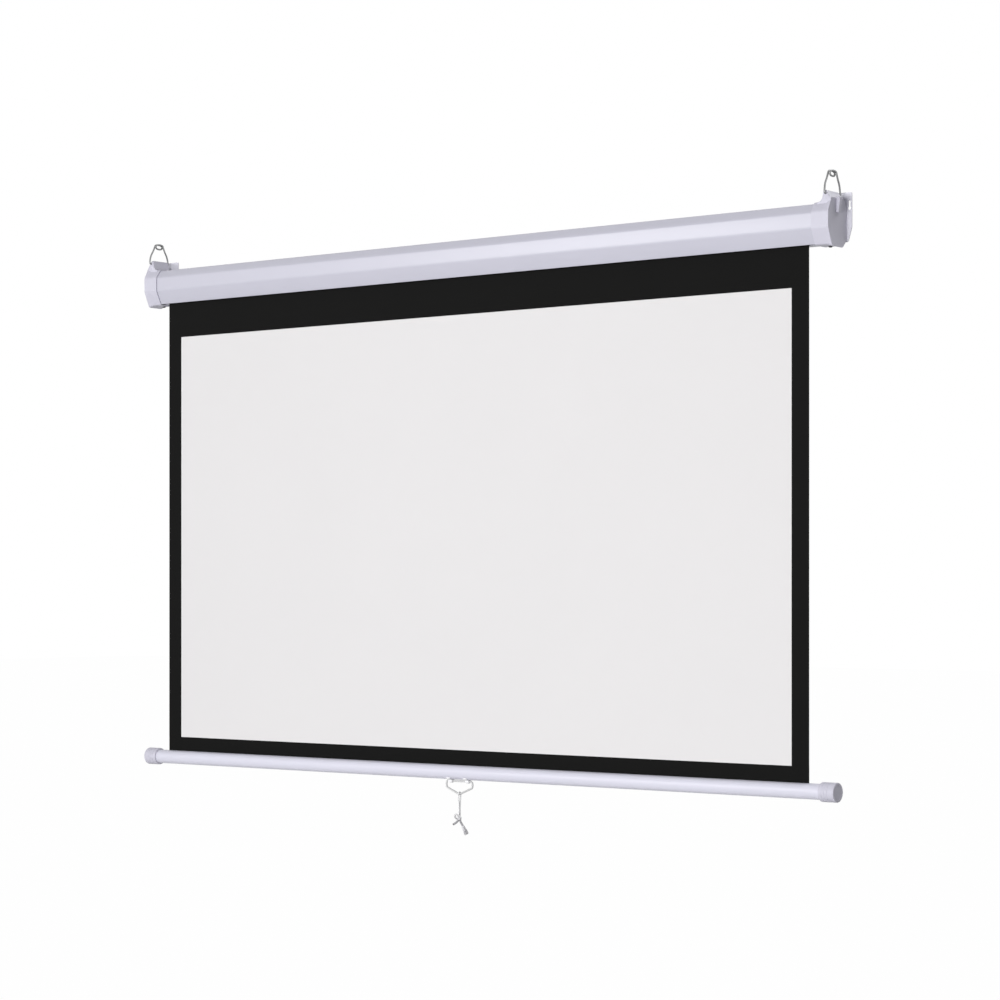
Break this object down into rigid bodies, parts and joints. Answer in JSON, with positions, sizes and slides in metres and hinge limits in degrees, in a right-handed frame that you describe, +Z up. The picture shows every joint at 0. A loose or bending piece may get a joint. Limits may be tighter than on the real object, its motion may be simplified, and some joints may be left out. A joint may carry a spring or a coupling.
{
  "type": "pull down projector screen",
  "caption": "Wall-mounted pull-down projector screen: spring roller in a slim white case, black-bordered white fabric, weighted bottom bar and a wire pull handle with a cord.",
  "frame": {"origin": "on the wall plane, midway between the two wall plates and level with the middle of the case", "axes": "+X along the width to the viewer's right, +Y into the wall, +Z up; the screen's front faces -Y"},
  "size_m": [1.8, 0.0722, 1.2883],
  "materials": {
    "case_paint": "satin lavender-white",
    "bar_paint": "satin lavender-white",
    "cap_plastic": "matt moulded",
    "zinc_plate": "satin light grey",
    "plated_steel": "plated",
    "dark_steel": "dark",
    "nylon": "natural",
    "black_fabric": "matt black vinyl-coated cloth",
    "white_fabric": "matt white viewing coat",
    "cotton_cord": "light grey braid"
  },
  "bodies": {
    "case": {"case_shell": "case_paint", "end_cap_left": "cap_plastic", "end_cap_right": "cap_plastic", "wall_plate_left": "zinc_plate", "wall_plate_right": "zinc_plate", "cap_screw_left": "dark_steel", "cap_screw_right": "dark_steel", "plate_screw_left_upper": "plated_steel", "plate_screw_left_lower": "plated_steel", "plate_screw_right_upper": "plated_steel", "plate_screw_right_lower": "plated_steel", "spring_arbor": "plated_steel", "ratchet_wheel": "plated_steel", "spring_collar": "nylon", "torsion_spring": "dark_steel", "bearing_bush": "nylon", "screen_fabric": "black_fabric", "viewing_surface": "white_fabric"},
    "roller": {"roller_tube": "plated_steel", "fabric_wrap": "black_fabric", "pawl_plate": "plated_steel", "roller_plug": "nylon", "gudgeon_pin": "plated_steel", "spring_plug": "nylon"},
    "rear_pawl": {"pawl_rear": "plated_steel"},
    "front_pawl": {"pawl_front": "plated_steel"},
    "bottom_bar": {"weight_bar": "bar_paint", "fabric_hem": "black_fabric", "hem_rod": "nylon", "bar_cap_left": "cap_plastic", "bar_cap_right": "cap_plastic", "handle_saddle_left": "bar_paint", "handle_saddle_right": "bar_paint"},
    "handle": {"pull_handle": "zinc_plate"},
    "cord": {"cord_strand_front": "cotton_cord", "cord_strand_rear": "cotton_cord", "cord_knot": "cotton_cord"},
    "left_hanger": {"hanger_left": "plated_steel"},
    "right_hanger": {"hanger_right": "plated_steel"}
  },
  "joints": [
    {"name": "screen_drop", "type": "slide", "parent": "case", "child": "bottom_bar", "axis": [0, 0, 1], "range_m": [0, 0.994], "deforming": ["screen_fabric", "viewing_surface"]},
    {"name": "roller_spin", "type": "hinge", "parent": "case", "child": "roller", "pos_m": [0, -0.03, 0.004], "axis": [-1, 0, 0], "range_deg": [0, 3164.1]},
    {"name": "rear_pawl_pivot", "type": "hinge", "parent": "roller", "child": "rear_pawl", "pos_m": [-0.8443, -0.0174, 0.004], "axis": [-1, 0, 0], "range_deg": [-13.1, 0]},
    {"name": "front_pawl_pivot", "type": "hinge", "parent": "roller", "child": "front_pawl", "pos_m": [-0.8443, -0.0426, 0.004], "axis": [-1, 0, 0], "range_deg": [-13.1, 0]},
    {"name": "handle_swing", "type": "hinge", "parent": "bottom_bar", "child": "handle", "pos_m": [0, -0.0474, -1.0756], "axis": [1, 0, 0], "range_deg": [-85, 60]},
    {"name": "cord_swing", "type": "hinge", "parent": "handle", "child": "cord", "pos_m": [0, -0.0474, -1.1022], "axis": [1, 0, 0], "range_deg": [-75, 45]},
    {"name": "left_hanger_swing", "type": "hinge", "parent": "case", "child": "left_hanger", "pos_m": [-0.8785, -0.037, 0.0545], "axis": [0, 1, 0], "range_deg": [-95, 95]},
    {"name": "right_hanger_swing", "type": "hinge", "parent": "case", "child": "right_hanger", "pos_m": [0.8785, -0.037, 0.0545], "axis": [0, 1, 0], "range_deg": [-95, 95]}
  ],
  "couplings": [
    {"joint": "roller_spin", "follows": "screen_drop", "rad_per_m": 55.556}
  ]
}
